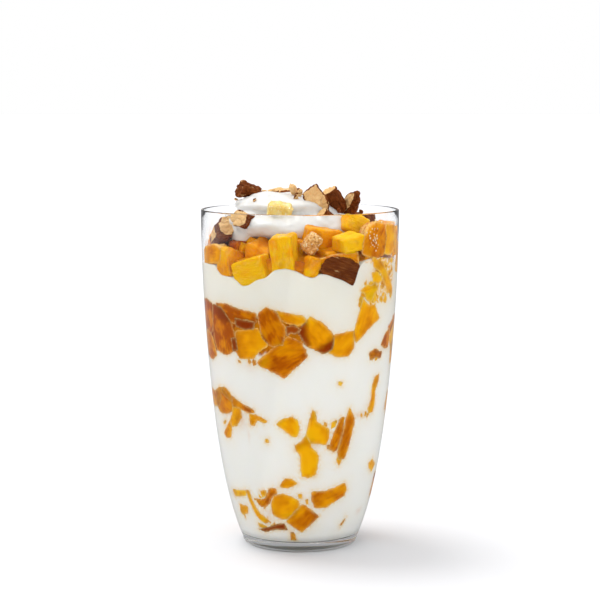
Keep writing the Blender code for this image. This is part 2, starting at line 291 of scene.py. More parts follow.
studio = {
    "cameraPlace": (0, -0.8, 0.1989),
    "cameraTilt": math.radians(90 - 6.40),
    "lens": 108,
    "ambient": 1.13,  # of the white surroundings
    "sideShade": (0.82, 0.81, 0.84),  # what clear glass shows at the left and right
    "roomShade": (0.36, 0.36, 0.37),  # what gloss shows below the lamps
    "keyDirection": (-0.29, 0.20, 0.935),  # towards the light
    "keyStrength": 1.35,
    "keySoftness": math.radians(24),
    "floorColour": (0.72, 0.725, 0.745),
}

camera = bpy.data.objects.new("Camera", bpy.data.cameras.new("Camera"))
scene.collection.objects.link(camera)
camera.location = studio["cameraPlace"]
camera.rotation_euler = (studio["cameraTilt"], 0, 0)
camera.data.lens = studio["lens"]
camera.data.sensor_width = 36
camera.data.clip_start = 0.01
scene.camera = camera
scene.view_settings.view_transform = "Standard"

world = bpy.data.worlds.new("Studio")
scene.world = world
sky = Finish("Studio", world)
path = lambda output: sky.node("ShaderNodeLightPath", {}, {}, output)
atLeastOne = lambda depth: depth.maths("MINIMUM", depth, 1.0)
direct = 1 - atLeastOne(path("Diffuse Depth"))  # not light on its way to a matt surface
clearRay = path("Is Transmission Ray") * direct
mirrored = (path("Is Glossy Ray") + path("Is Transmission Ray") * atLeastOne(path("Glossy Depth"))) * direct
direction = sky.node("ShaderNodeTexCoord", {}, {}, "Generated")
sideways = sky.node("ShaderNodeSeparateXYZ", {}, {"Vector": direction}, "X")
upwards = sky.node("ShaderNodeSeparateXYZ", {}, {"Vector": direction}, "Z")
colour = sky.mix(sideways.maths("ABSOLUTE", sideways).smooth(0.5, 0.9) * clearRay, (1, 1, 1), studio["sideShade"])
lamps = upwards.smooth(0.42, 0.6)
colour = sky.mix(mirrored * (1 - lamps), colour, studio["roomShade"])
seen = path("Is Camera Ray") + clearRay
strength = seen * (1 - studio["ambient"]) + studio["ambient"]
sky.output(sky.node("ShaderNodeBackground", {}, {"Color": colour, "Strength": strength}), "ShaderNodeOutputWorld")

key = bpy.data.objects.new("Key", bpy.data.lights.new("Key", "SUN"))
scene.collection.objects.link(key)
key.data.energy = studio["keyStrength"]
key.data.angle = studio["keySoftness"]
key.rotation_euler = Vector(studio["keyDirection"]).to_track_quat("Z", "Y").to_euler()

floor = added(bpy.ops.mesh.primitive_plane_add, size=40)
floor.name = "Floor"
paint = Finish("PaleFloor").surface(Base_Color=(*studio["floorColour"], 1), Roughness=0.9, Specular_IOR_Level=0.1)
floor.data.materials.append(paint)
floor.visible_glossy = False  # the glass would mirror it as a haze over the fruit
print("camera, light and floor: done")


# The wall of the glass

wall = {
    "height": 150,
    "rimRadius": 44,
    "thickness": 1.5,
    "floor": 4.5,
    "taper": 14,
    "taperCurve": 1.88,
    "tuck": 5.2,
    "tuckCurve": 8,
    "heel": 2.2,
    "corner": 4,
}
wallStep = 0.5  # degrees between the heights that roundTheWall keeps


def outerRadius(height):
    # millimetres in, millimetres out
    belowRim = np.clip(1 - np.asarray(height, float) / wall["height"], 0, 1)
    taper, tuck = belowRim ** wall["taperCurve"], belowRim ** wall["tuckCurve"]
    return wall["rimRadius"] - wall["taper"] * taper - wall["tuck"] * tuck


def innerRadius(height):
    height = np.asarray(height, float)
    drop = np.clip(1 - (height - wall["floor"]) / wall["corner"], 0, 1)
    return outerRadius(height) - wall["thickness"] - wall["corner"] * (1 - np.sqrt(1 - drop * drop))


def pairs(numbers):
    # from angle, height, angle, height: degrees from the front towards +X, and millimetres
    return np.array(numbers, float).reshape(-1, 2)


def roundTheWall(numbers, softness=1.5):
    # a height at any angle, through these points
    angles, heights = pairs(numbers).T
    steps = np.arange(-180, 180, wallStep)
    raw = np.interp(steps, angles, heights, period=360)
    reach = 12
    kernel = np.exp(-((np.arange(-reach, reach + 1) * wallStep / softness) ** 2))
    soft = np.convolve(np.concatenate([raw[-reach:], raw, raw[:reach]]), kernel / kernel.sum(), "valid")
    return lambda angle: np.interp(angle, steps, soft, period=360)


def wrapped(name, columns, rows, shape):
    # a grid wrapped round the axis: shape(angle in degrees, share from 0 to 1) gives x, y and z
    obj = added(bpy.ops.mesh.primitive_grid_add, x_subdivisions=columns, y_subdivisions=rows, size=1)
    obj.name = obj.data.name = name
    flat = placesOf(obj)
    setPlaces(obj, np.stack(shape(flat[:, 0] * 360, flat[:, 1] + 0.5), 1) * mm)
    mergeAndFaceOut(obj)
    shadeSmooth(obj)
    return obj


def aroundAxis(angle, radius, height):
    turn = np.radians(angle)
    return radius * np.sin(turn), -radius * np.cos(turn), height


def anglesOf(places):
    return np.degrees(np.arctan2(places[:, 0], -places[:, 1]))


# The glass

glass = {
    "columns": 200,
    "wallRows": 44,
    "arcRows": 10,
    "push": 0.9,  # how far the foot is hollowed
    "lip": 1.1,  # the wall thins towards its rim
    "ior": 1.35,
    "glint": (0.2, 0.2, 0.2),  # a full glint would lie over the fruit as a haze
}


def glassProfile():
    thickness, corner, heel = wall["thickness"], wall["corner"], wall["heel"]
    points = [(0, wall["floor"]), (12, wall["floor"])]
    for turn in np.linspace(0, math.pi / 2, glass["arcRows"]):
        height = wall["floor"] + corner * (1 - math.cos(turn))
        points.append((float(outerRadius(height)) - thickness - corner * (1 - math.sin(turn)), height))
    lip = glass["lip"] / 2
    shoulder = wall["height"] - lip
    for height in np.linspace(wall["floor"] + corner, shoulder, glass["wallRows"])[1:]:
        thin = (thickness - 2 * lip) * float(step(np.array(height), shoulder - 9, shoulder - 1))
        points.append((float(outerRadius(height)) - thickness + thin, float(height)))
    middle = float(outerRadius(shoulder)) - lip
    for turn in np.linspace(math.pi, 0, glass["arcRows"] + 2)[1:-1]:
        points.append((middle + math.cos(turn) * lip, shoulder + math.sin(turn) * lip))
    for height in np.linspace(shoulder, heel, glass["wallRows"]):
        points.append((float(outerRadius(height)), float(height)))
    middle = float(outerRadius(heel)) - heel
    for turn in np.linspace(0, math.pi / 2, glass["arcRows"])[1:]:
        points.append((middle + math.cos(turn) * heel, heel - math.sin(turn) * heel))
    points += [(middle - 1.5, 0.25), (middle - 4, glass["push"] * 0.8), (0, glass["push"])]
    return np.array(points)


profile = glassProfile()


def glassShape(angle, share):
    row = share * (len(profile) - 1)
    across = np.interp(row, np.arange(len(profile)), profile[:, 0])
    up = np.interp(row, np.arange(len(profile)), profile[:, 1])
    return aroundAxis(angle, across, up)


glassWall = wrapped("glassWall", glass["columns"], len(profile) - 1, glassShape)
clear = Finish("ClearGlass")
shadowRay = clear.node("ShaderNodeLightPath", {}, {}, "Is Shadow Ray")
solid = clear.principled(
    Base_Color=(0.985, 0.99, 0.99, 1), Roughness=0.0, IOR=glass["ior"], Transmission_Weight=1.0,
    Specular_Tint=(*glass["glint"], 1),
)
through = clear.node("ShaderNodeBsdfTransparent", {}, {"Color": (1, 1, 1, 1)})
mixed = clear.node("ShaderNodeMixShader", {}, {0: shadowRay, 1: solid, 2: through})
finishPiece(glassWall, clear.output(mixed), "glass", "glass")
print("glass: done")


# Mango, cut and mashed

mango = {
    "stops": (
        (0.0, (0.42, 0.09, 0.001)),
        (0.25, (0.64, 0.19, 0.001)),
        (0.5, (0.76, 0.295, 0.001)),
        (0.75, (0.87, 0.375, 0.002)),
        (1.0, (0.95, 0.49, 0.002)),
    ),
    # painted light: the fruit on top is given brighter colours than the same fruit against the glass
    "paintedLightOnTop": 1.08,
    # the deep red of painted shade
    "paintedShadeColour": (0.27, 0.035, 0.001),
    # the pale yellow of a painted glow along each piece's outline
    "edgeGlowColour": (0.95, 0.74, 0.30),
    "fibre": (0.16, 1.3, 1.3),  # how the fibres stretch along a piece, per millimetre
    "strandContrast": (0.26, 0.2),  # against the glass, and on top
    "edgeGlowStrength": 0.62,
    "wetPatches": 0.75,
}


def mangoFinish(name, wet, roughness, bumpDepth):
    flesh = Finish(name)
    # painted light: brighter colours for the fruit on top
    paintedLight = mango["paintedLightOnTop"] if wet else 1.0
    stops = [(place, tuple(min(0.95, part * paintedLight) for part in shade)) for place, shade in mango["stops"]]
    grain = flesh.attribute("grain", "Vector")
    tone = flesh.attribute("tone")
    deep = flesh.attribute("deep")
    rim = flesh.attribute("rim")
    blotch = flesh.noise(grain, 0.16, 2)
    fibre = flesh.noise(flesh.scaled(grain, mango["fibre"]), 1.0, 4, 0.6, 0.6)
    speck = flesh.noise(grain, 1.7, 3, 0.6)
    strands = (fibre.smooth(0.34, 0.66) - 0.5) * mango["strandContrast"][wet]
    mixedTone = tone + (blotch.smooth(0.3, 0.7) - 0.5) * 0.5 + strands + (speck - 0.5) * 0.3
    colour = flesh.ramp(mixedTone, stops)
    # painted shade: towards a deep red where a piece is marked as in shade, with random dark blotches as well
    darkening = (deep + (blotch - 0.5) * 0.5 * deep).smooth(0.15, 1.0)
    colour = flesh.mix(darkening, colour, mango["paintedShadeColour"])
    # painted glow: a paler, yellower rim along the outline of each piece against the glass
    colour = flesh.mix(rim * speck.smooth(0.32, 0.62) * mango["edgeGlowStrength"], colour, mango["edgeGlowColour"])
    return flesh.surface(
        Base_Color=colour,
        Roughness=roughness + (speck - 0.5) * 0.2,
        Coat_Weight=flesh.noise(grain, 0.45, 3, 0.6).smooth(0.5, 0.62) * mango["wetPatches"] + 0.05 if wet else 0.0,
        Coat_Roughness=0.06,
        Specular_IOR_Level=0.06 if wet else 0.0,  # against the glass it is wet, with no shine of its own
        soft=(0.35, (2.0, 0.9, 0.15), 0.0009),
        Normal=flesh.bump(fibre * 0.7 + speck * 0.3, bumpDepth),
    )


wallMango = mangoFinish("WallMango", False, 0.4, 0.0002)
topMango = mangoFinish("TopMango", True, 0.33, 0.0009)

# Pieces against the wall: tone, painted shade (a number that darkens the whole piece, as for the dark bits in
# shadowed gaps, or how much and towards which sides in degrees, for a shaded side), order (the higher lies nearer
# the glass), and the corners of the outline

def chunksFrom(*rows):
    return tuple((tone, deep, order, pairs(corners)) for tone, deep, order, corners in rows)


bottomChunks = chunksFrom(
    (0.95, 0, 0, (-68, 26, -46, 27.5, -48, 25, -64, 23)),
    (0.75, 0, 0, (-60, 20, -48, 20, -50, 17, -57, 15, -61, 16)),
    (0.62, 0, 1, (-47, 28, -43, 27.5, -42, 25, -39, 20, -34, 17, -29, 15.5, -27, 14.5, -31, 13, -36, 14,
     -41, 17, -44, 22, -46, 25)),
    (0.25, 0, 2, (-20, 30.5, -18, 30, -18, 28, -22, 26, -25, 23, -29, 21, -34, 21, -38, 24.5, -33, 24.5,
     -29, 25, -26, 27.5, -24, 30)),
    (0.7, 0, 1, (-32, 28.5, -27, 29, -27, 27, -31, 25.5)),
    (0.6, 0, 1, (-15, 31, -14, 33, -11, 35, -6, 35, -2, 33, -5, 31.5, -10, 30.5)),
    (0.7, 0, 1, (-24, 23, -20, 27, -13, 28, -7, 27, -1, 25, 0, 22, -4, 18, -12, 16, -19, 16.5, -23, 18)),
    (0.42, (0.5, 0), 2, (-12, 15, -6, 19, 1, 23, 4, 23, 10, 20, 16, 17.5, 10, 14, 2, 10, -5, 12)),
    (0.5, 0, 1, (9, 29, 20, 29, 28, 30.5, 36, 32, 39, 29, 37, 26, 30, 24, 20, 21, 12, 21.5, 9, 25)),
    (0.9, 0, 0, (-1.5, 28, 1.5, 28, 1.5, 26, -1, 26)),
    (0.7, 0, 0, (4.5, 25.5, 6.5, 25.5, 6.5, 23.5, 5, 23.5)),
    (0.85, 0, 0, (60, 39, 66, 40, 73, 37, 68, 34, 62, 36)),
    (0.1, 0.35, 0, (38.5, 12.5, 43, 15.5, 42, 13.5, 39, 11)),
    (0.3, 0.3, 0, (-8.5, 10, -5.5, 10, -3.5, 6, -9, 6)),
    (0.1, 0.85, 2, (-41, 10, -34, 9, -28, 10, -22, 11, -11, 11, -14, 14, -20, 13.5, -28, 12)),
    (0.6, 0, 1, (-40, 13, -31, 12, -33, 10.5, -39, 11)),
)
lowerChunks = chunksFrom(
    (0.3, 0, 1, (-50, 70, -46, 69, -40, 67, -31, 65, -31, 63.5, -36, 63.5, -44, 65, -50, 65)),
    (0.5, (0.3, 200), 0, (-72, 70.5, -64, 73, -57, 72, -50, 68, -49, 63.5, -56, 61.5, -66, 61, -73, 64)),
    (0.45, 0, 0, (-88, 71, -70, 70, -64, 72.5, -63, 68, -68, 63.5, -80, 63, -88, 64)),
    (0.5, 0, 0, (-62, 73, -56, 73.3, -50, 70.5, -50, 67, -56, 69, -61, 70)),
    (0.6, 0, 2, (-50, 65, -42, 65.5, -42, 61, -47, 57, -53, 56, -54, 59, -51, 62)),
    (0.6, 0, 1, (-54, 59, -53, 55, -56, 51, -61, 50, -65, 52, -60, 55)),
    (0.6, 0, 1, (-35, 63, -30, 63, -26, 62, -22, 60.5, -24, 59.5, -29, 61, -32, 58, -35, 58)),
    (0.72, 0, 1, (-16, 59.5, -11, 62, -5, 63, -1, 61, 0, 57.5, -2, 54, -5, 54, -10, 56.5)),
    (0.95, 0, 2, (8, 66, 10, 65, 11, 61, 15, 59, 20, 57, 20, 53, 18, 50, 12, 51, 7, 51, 4, 55, 6, 61, 7, 64)),
    (0.95, 0, 1, (-4, 50, 1, 52, 4, 55, 7, 53, 8, 49, 13, 46, 13, 41, 11, 36.5, 6, 35.5, 1, 36, 0.5, 42,
     0, 46, -3, 48)),
    (0.35, 0, 1, (28, 62, 31, 62, 30, 55, 27, 48, 24, 46.5, 20, 48.5, 22, 53, 25, 58)),
    (0.4, (0.4, 200), 2, (34, 66, 36, 64, 39, 61, 38, 55, 35, 47, 33, 43, 28, 43, 27, 47, 30, 55, 32, 62)),
    (0.9, 0, 0, (21, 60, 25, 61, 24, 58, 21, 57)),
    (0.62, 0, 1, (55, 78, 60, 79, 60, 76, 57, 72, 58, 66, 56, 62, 52, 62, 51, 64, 53, 68, 53, 74)),
    (0.8, 0, 0, (25, 78, 27.5, 77.5, 27, 76, 25, 76.3)),
    (0.6, 0, 0, (-24, 52.5, -22, 52.5, -22, 50.8, -24, 51)),
    (0.2, 0.2, 0, (19, 50, 21, 50, 21, 48.2, 19, 48.4)),
    (0.5, 0, 0, (27, 44.5, 31, 43, 29, 40, 27, 42)),
)
middleChunks = chunksFrom(
    (0.12, (0.8, 80), 1, (-64, 109.5, -54, 108.5, -46, 103, -42.5, 96, -44.5, 90.5, -52, 88, -63, 90,
     -66, 99)),
    (0.14, (0.6, 60), 1, (-86, 110, -75, 111, -65, 109.5, -66.5, 99, -70, 96, -80, 97, -87, 101)),
    (0.4, (0.4, 200), 2, (-82, 97, -71, 96, -66, 92, -64, 87, -72, 84.5, -83, 86, -86, 91)),
    (0.58, 0, 2, (-42, 99, -34, 100, -26, 101, -21, 97, -20, 94, -26, 91, -30, 88, -40, 87.5, -43, 91)),
    (0.2, (0.3, -60), 3, (-25.5, 107, -20, 110.3, -14, 108.2, -8.5, 101, -10.5, 94.5, -17, 93.5, -23, 97)),
    (0.1, 0.1, 0, (-60, 110, -50, 110.5, -42, 109, -27, 107.5, -27, 103.5, -38, 102.5, -48, 103, -58, 106)),
    (0, 0.85, 4, (-42, 104.5, -36, 104.2, -28, 103.6, -29, 101, -35, 100.4, -41, 101.5)),
    (0, 0.8, 4, (-46, 95.5, -42.5, 96, -41.5, 91, -45, 90.5)),
    (0.5, 0, 1, (-14, 109, -5, 107.5, 2, 106.5, 4, 104, -2, 103, -8, 104, -12, 106)),
    (0.1, 0.6, 4, (-8, 98, -8, 102, -4, 103, 0, 101, -3, 99.5, -6, 100)),
    (0.25, (0.2, 30), 2, (-7, 98, 0, 96, 3, 92, 4, 89, -4, 84, -10, 80, -14, 82, -24, 84.5, -27, 86, -19, 91,
     -12, 95)),
    (0.62, (1.0, 188, -55), 3, (-1.5, 100.5, 6, 106.3, 13, 103.8, 20.5, 98, 19.5, 92.3, 14.5, 90.6,
     3.5, 94.6)),
    (0.6, 0, 2, (21, 98, 28, 99, 34, 99.5, 34, 92, 30, 89, 24, 89, 18, 91, 20, 95)),
    (0.56, 0, 2, (40, 113, 44, 110, 50, 110, 53, 106, 55, 104, 47, 101, 40, 97, 36, 95, 34, 98, 37, 105)),
    (0.1, 0.35, 1, (48, 89, 53, 90.5, 57, 89, 61, 88.5, 60, 86.3, 54, 87, 49, 86.3)),
    (0.2, 0.15, 1, (60, 92, 64, 96, 70, 98, 72, 94, 70, 90, 64, 90.5)),
    (0.8, 0, 1, (38, 117, 41, 116, 43, 113, 47, 112, 49, 115, 52, 117, 50, 119.5, 46, 118.5, 43, 119)),
    (0.65, 0, 2, (47, 131, 56, 128, 63, 122.5, 71, 116, 71, 113, 66, 114.5, 60, 119, 55, 124, 48, 127)),
    (0.85, 0, 1, (47, 124, 51, 124.5, 56, 121, 52, 119.5, 48, 120.5)),
)

upperChunks = chunksFrom(
    (0.5, 0, 0, (-75, 134, -60, 136, -52, 134, -54, 128, -70, 127)),
    (0.42, (0.4, 200), 1, (38, 132.5, 39, 139, 43, 144, 50, 146.5, 58, 145, 60.5, 139, 58, 131.5, 48, 130)),
    (0.75, 0, 0, (59, 145, 72, 144, 73, 134, 66, 131, 58, 131.5)),
    (0.35, 0.1, -18, (8, 131, 20, 133, 36, 134, 37, 128, 34, 117, 28, 119, 20, 125, 9, 127)),
)

# Scraps of fruit: the middle of a patch, its half width in degrees and half height, how many, their size
bottomScraps = ((180, 22, 95, 10, 26, 1.9), (-40, 21, 20, 7, 9, 1.5), (-30, 12.5, 14, 2.5, 9, 1.5))
lowerScraps = ((180, 60, 95, 12, 26, 1.9), (-58, 60, 12, 4, 5, 2.4), (22, 60, 6, 3, 2, 2.0), (48, 63, 4, 2, 4, 2.4))
middleScraps = ((57, 121, 12, 9, 16, 2.8), (45, 115, 7, 5, 6, 2.2), (55, 88, 7, 2, 6, 1.6), (-30, 86, 12, 2, 5, 1.6))


def leant(x, z, lean):
    return x * math.cos(lean) - z * math.sin(lean), x * math.sin(lean) + z * math.cos(lean)


def unrolled(corners):
    # the middle of an outline on the wall, the radius there, and the corners in millimetres from the middle
    middle = np.mean(corners, 0)
    reach = float(innerRadius(middle[1]))
    x, z = np.transpose(corners)
    return middle, reach, np.stack([np.radians(x - middle[0]) * reach, z - middle[1]], 1)


def scraps(patches, seed):
    chance = random.Random(seed)
    made = []
    for middle, level, wide, tall, count, size in patches:
        for _ in range(count):
            angle = middle + wide * chance.uniform(-1, 1)
            height = level + tall * chance.uniform(-1, 1)
            long, lean = size * chance.uniform(0.6, 1.5), chance.uniform(0, math.pi)
            corners = []
            for index in range(5):
                turn = 2 * math.pi * (index + chance.uniform(-0.3, 0.3)) / 5
                x, z = leant(math.cos(turn) * long / 2, math.sin(turn) * long * chance.uniform(0.2, 0.4), lean)
                corners.append((angle + math.degrees(x / float(innerRadius(height))), height + z))
            made.append((chance.uniform(0.25, 1.0), chance.choice((0, 0, 0.2)), -1, corners))
    return tuple(made)


# Round the back: the middle of each band, its half height, degrees from piece to piece
backBands = {
    "bottom": (22, 9, 10),
    "lower": (61, 11, 12),
    "middle": (98, 7, 8.5),
    "upper": (127.5, 2.5, 8),
}


backKinds = {band: ("block", "block", "wedge", "strip", "block") for band in ("bottom", "lower")}
backKinds |= {band: ("block", "block", "wedge") for band in ("middle", "upper")}


def backChunks(band, seed):
    chance = random.Random(seed)
    level, half, pace = backBands[band]
    chunks = []
    angle = 84
    while angle < 274:
        for row in range(2 if band == "middle" else 1):
            kind = chance.choice(backKinds[band])
            width, tall = chance.uniform(8, 14), chance.uniform(7, 11)
            if kind == "strip":
                width, tall = chance.uniform(11, 16), chance.uniform(2.5, 4.5)
            middle = level + chance.uniform(-1, 1) * half + (row - 0.5) * 8 * (band == "middle")
            middle += 2.6 * math.sin(5 * math.radians(angle) + level)
            lean = chance.uniform(0, math.pi)
            corners = [(-0.5, -0.5), (0.5, -0.5), (0.5, 0.5), (-0.5, 0.5)]
            if kind == "wedge":
                corners = [(-0.55, -0.4), (0.6, -0.45), (0.25, 0.5)]
            elif chance.random() < 0.5:
                corners.insert(3, (chance.uniform(-0.1, 0.3), 0.62))
            outline = []
            for x, z in corners:
                x = (x + chance.uniform(-0.12, 0.12)) * width
                z = (z + chance.uniform(-0.12, 0.12)) * tall
                x, z = leant(x, z, lean)
                outline.append((angle + math.degrees(x / float(innerRadius(level))), middle + z))
            # painted shade towards a random side of about half the pieces
            deep = (chance.uniform(0.2, 0.8), chance.uniform(0, 360)) if chance.random() < 0.5 else 0
            chunks.append((chance.uniform(0.25, 0.95), deep, chance.choice((0, 1, 2, 3)), outline))
        angle += pace * chance.uniform(0.7, 1.6)
    return tuple(chunks)


chunkShape = {
    "depth": 5.5,
    "voxel": 0.5,
    "backVoxel": 0.78,
    "intoWall": 0.2,
    "perOrder": 0.04,
    "roughness": 0.34,
    "narrowing": 0.22,  # towards its inner end
    "skew": 0.15,
    "edgeGlowWidth": 0.7,
}


def cutCorners(points, cut=0.17):
    points = np.asarray(points, float)
    after = np.roll(points, -1, 0)
    return np.stack([points + (after - points) * cut, points + (after - points) * (1 - cut)], 1).reshape(-1, 2)


def toOutline(points, outline):
    # distance from each flat point to a closed outline, and whether it is inside
    start, end = outline, np.roll(outline, -1, 0)
    along = end - start
    away = points[:, None, :] - start[None]
    share = np.clip((away * along[None]).sum(2) / np.maximum((along * along).sum(1), 1e-9), 0, 1)
    distance = np.sqrt(((away - share[:, :, None] * along[None]) ** 2).sum(2)).min(1)
    crosses = (start[None, :, 1] > points[:, None, 1]) != (end[None, :, 1] > points[:, None, 1])
    rise = np.where(np.abs(along[:, 1]) < 1e-9, 1e-9, along[:, 1])
    at = start[None, :, 0] + (points[:, None, 1] - start[None, :, 1]) / rise[None] * along[None, :, 0]
    return distance, (crosses & (points[:, None, 0] < at)).sum(1) % 2 == 1


def grown(outline, amount):
    # every side moved outwards
    after, before = np.roll(outline, -1, 0), np.roll(outline, 1, 0)
    x, z = outline.T
    area = np.sum(x * after[:, 1] - after[:, 0] * z) / 2
    sides = np.stack([after - outline, outline - before], 1)
    out = np.stack([sides[..., 1], -sides[..., 0]], -1) / np.maximum(np.linalg.norm(sides, axis=2), 1e-9)[..., None]
    push = out.sum(1)
    push /= np.maximum((push * push).sum(1, keepdims=True) / 2, 0.6)
    return outline + push * amount * math.copysign(1, area)


def wallChunk(chunk, seed, growth=0.0):
    tone, deep, order, corners = chunk
    chance = random.Random(seed)
    middle, reach, flat = unrolled(corners)
    flat = cutCorners(grown(flat, growth), 0.1)
    size = np.ptp(flat, 0)
    depth = min(chunkShape["depth"], 1.5 + 0.8 * float(size.min()))
    piece = added(bpy.ops.mesh.primitive_circle_add, vertices=len(flat), fill_type="NGON")
    setPlaces(piece, np.stack([flat[:, 0], flat[:, 0] * 0, flat[:, 1]], 1) * mm)
    modify(piece, "SOLIDIFY", thickness=depth * mm, offset=0)
    places = placesOf(piece) / mm
    places[:, 1] += depth / 2
    narrow = 1 - chunkShape["narrowing"] * places[:, 1] / depth
    for side in (0, 2):
        skew = chance.uniform(-chunkShape["skew"], chunkShape["skew"])
        places[:, side] = places[:, side] * narrow + skew * places[:, 1]
    setPlaces(piece, places * mm)
    atBack = abs((middle[0] + 180) % 360 - 180) > 80
    voxel = min(chunkShape["backVoxel" if atBack else "voxel"], float(size.min()) / 4)
    places, normals = remeshed(piece, voxel, 1)
    amount = min(chunkShape["roughness"], float(size.min()) * 0.05)
    ragged = bumps(places, 2.2, seed) * 1.0 + bumps(places, 0.8, seed + 9) * 0.8
    places += normals * (ragged * amount)[:, None]
    distance, inside = toOutline(places[:, [0, 2]], flat)
    # painted glow: how near each point lies to the piece's outline, for its paler rim
    rim = np.exp(-((np.where(inside, distance, 0) / chunkShape["edgeGlowWidth"]) ** 2))
    spread = np.linalg.eigh(np.cov(flat.T))[1][:, 1]
    turn = math.atan2(spread[1], spread[0]) + chance.uniform(-0.3, 0.3)
    grain = np.stack(
        [
            places[:, 0] * math.cos(turn) + places[:, 2] * math.sin(turn),
            places[:, 1],
            places[:, 2] * math.cos(turn) - places[:, 0] * math.sin(turn),
        ],
        1,
    ) + chance.uniform(0, 400)
    # random dark blotches; painted shade is added to them below
    shade = 0.35 * step(-bumps(places, 3.5, seed + 4), 0.15, 0.6)
    # painted shade: darker towards the listed sides, as if the light fell from the other side
    if isinstance(deep, tuple):
        for towards in deep[1:]:
            side = places[:, 0] * math.cos(math.radians(towards)) + places[:, 2] * math.sin(math.radians(towards))
            edge = step(side + bumps(places, 2, seed + 6), 0.06 * size.min(), 0.42 * size.min())
            shade = np.maximum(shade, deep[0] * edge)
    else:
        # painted shade: the whole piece darker by the given number, and one side darker by a random amount
        shade = shade + deep
        side = places[:, 0] * math.cos(turn) + places[:, 2] * math.sin(turn)
        shade = np.maximum(shade, chance.uniform(0.1, 0.5) * step(side, 0.0, 0.5 * size.min()))
    # painted shade: darker away from the glass, towards the piece's buried inner end
    shade = np.clip(shade + 0.5 * step(places[:, 1], 0.3, 2.5), 0, 1)
    setAttributes(piece, tone=tone + chance.uniform(-0.05, 0.05), deep=shade, rim=rim, grain=grain)
    inward = np.maximum(places[:, 1] - 0.4, 0)
    height = places[:, 2] + middle[1]
    angle = middle[0] + np.degrees(places[:, 0] / reach)
    radius = innerRadius(height) + chunkShape["intoWall"] + chunkShape["perOrder"] * order - inward
    setPlaces(piece, np.stack(aroundAxis(angle, radius, height), 1) * mm)
    return piece


def fruitBand(name, chunks, seed, growth, *replaced):
    pieces = [wallChunk(chunk, seed + 10 * index, growth) for index, chunk in enumerate(chunks)]
    finishPiece(joined(pieces, name), wallMango, "mango", *replaced)


upperChunks += backChunks("upper", 11)
bottomChunks += backChunks("bottom", 3) + scraps(bottomScraps, 31)
lowerChunks += backChunks("lower", 5) + scraps(lowerScraps, 32)
middleChunks += backChunks("middle", 8) + scraps(middleScraps, 33)
fruitBand("fruitBottom", bottomChunks, 100, 0.25, "mango_bottom")
fruitBand("fruitLower", lowerChunks, 1100, 0.25, "mango_lower")
fruitBand("fruitMiddle", middleChunks, 2100, 0.6, "mango_middle")
fruitBand("fruitUpper", upperChunks, 2900, 0.2)
print("fruit at the wall: done")


# The yogurt inside the glass

yogurt = {
    "columns": 300,
    "rows": 176,
    "floorRows": 8,
    "topRows": 12,
    "intoWall": 0.13,
    "colours": ((0.92, 0.92, 0.88), (0.86, 0.84, 0.74)),
    # painted shade: the dollop's yogurt is given greyer colours than the yogurt in the glass, to hold back the lamp
    # above it
    "shadedDollopColours": ((0.70, 0.695, 0.675), (0.68, 0.665, 0.63)),
    "juiceColour": (0.86, 0.56, 0.17),
    "stainColour": (0.70, 0.37, 0.17),
    "mashed": (
        (0.34, (0.60, 0.20, 0.006)), (0.45, (0.86, 0.44, 0.012)), (0.52, (0.92, 0.62, 0.16)),
        (0.57, (0.90, 0.72, 0.55)), (0.64, (0.92, 0.86, 0.80)),
    ),
    # orange pulp, and the dark red-brown of painted shade in the gaps between the pieces
    "pulpAndCreviceShade": ((0.64, 0.22, 0.004), (0.28, 0.04, 0.001)),
    "juiceReach": 6,
    "middleHeight": 124,  # of its top, at the axis
}
yogurtTop = roundTheWall((
    -75, 127, -60, 127, -53, 123, -45, 122.5, -40, 121.5, -36, 119, -31, 119.5, -26, 122, -20, 123,
    -15, 126.5, -8, 127.3, -2, 126, 3, 124, 8, 123, 11, 125, 16, 124.5, 19, 123.5, 25, 122, 30, 120,
    33, 118.5, 36, 127, 40, 130, 50, 131, 62, 130, 72, 128, 80, 125, 100, 126, 125, 123, 150, 125, 175, 122,
    200, 125, 225, 123, 250, 126, 270, 127,
))
pulpLow = roundTheWall((
    -86, 88, -74, 87, -60, 89.5, -46, 91, -38, 90, -28, 90, -14, 90, -8, 88, 0, 95, 10, 95, 22, 93, 30, 93,
    36, 98, 45, 103, 52, 106, 66, 100, 80, 92, 100, 94, 130, 90, 160, 94, 190, 91, 220, 94, 250, 90,
))
pulpHigh = roundTheWall((
    -86, 108, -70, 108.5, -60, 107, -40, 106, -28, 105.5, -22, 107, -15, 106, -8, 105.5, 0, 104.5, 6, 103,
    12, 101, 18, 97, 24, 96.5, 32, 97.5, 37, 102, 42, 109, 48, 108, 52, 106, 66, 99, 80, 104, 100, 103,
    130, 106, 160, 102, 190, 106, 220, 103, 250, 107,
))
# angle, height, half width in degrees, half height, strength
stains = (
    (-58, 66, 9, 4.5, 1.0), (-42, 60, 6, 5, 0.35), (-78, 66, 6, 4, 0.5), (-27, 17, 6, 3, 0.5), (44, 62, 6, 1.5, 0.6),
    (60, 17, 5, 2, 0.35), (-37, 53, 1, 3, 0.3), (-33, 84, 5, 2, 0.25), (10, 50, 4, 2, 0.3), (-66, 24, 8, 2, 0.4),
    (58, 121, 13, 8, 0.6), (44, 116, 4, 4, 0.5), (66, 92, 5, 4, 0.35), (52, 64, 5, 4, 0.3), (110, 60, 9, 3, 0.4),
    (160, 26, 8, 3, 0.4), (205, 64, 7, 3, 0.4), (240, 24, 9, 2, 0.4), (140, 84, 8, 2, 0.3), (228, 86, 8, 2, 0.3),
)
mushes = ((60, 122, 11, 8, 1.0), (49, 114, 6, 5, 0.9), (54, 130, 15, 3, 0.8), (-27, 16, 6, 2.5, 0.4))


def patched(patches, angles, heights):
    amount = np.zeros(len(angles))
    for middle, level, wide, tall, strength in patches:
        gap = (angles - middle + 180) % 360 - 180
        amount = np.maximum(amount, strength * np.exp(-((gap / wide) ** 2) - ((heights - level) / tall) ** 2))
    return amount


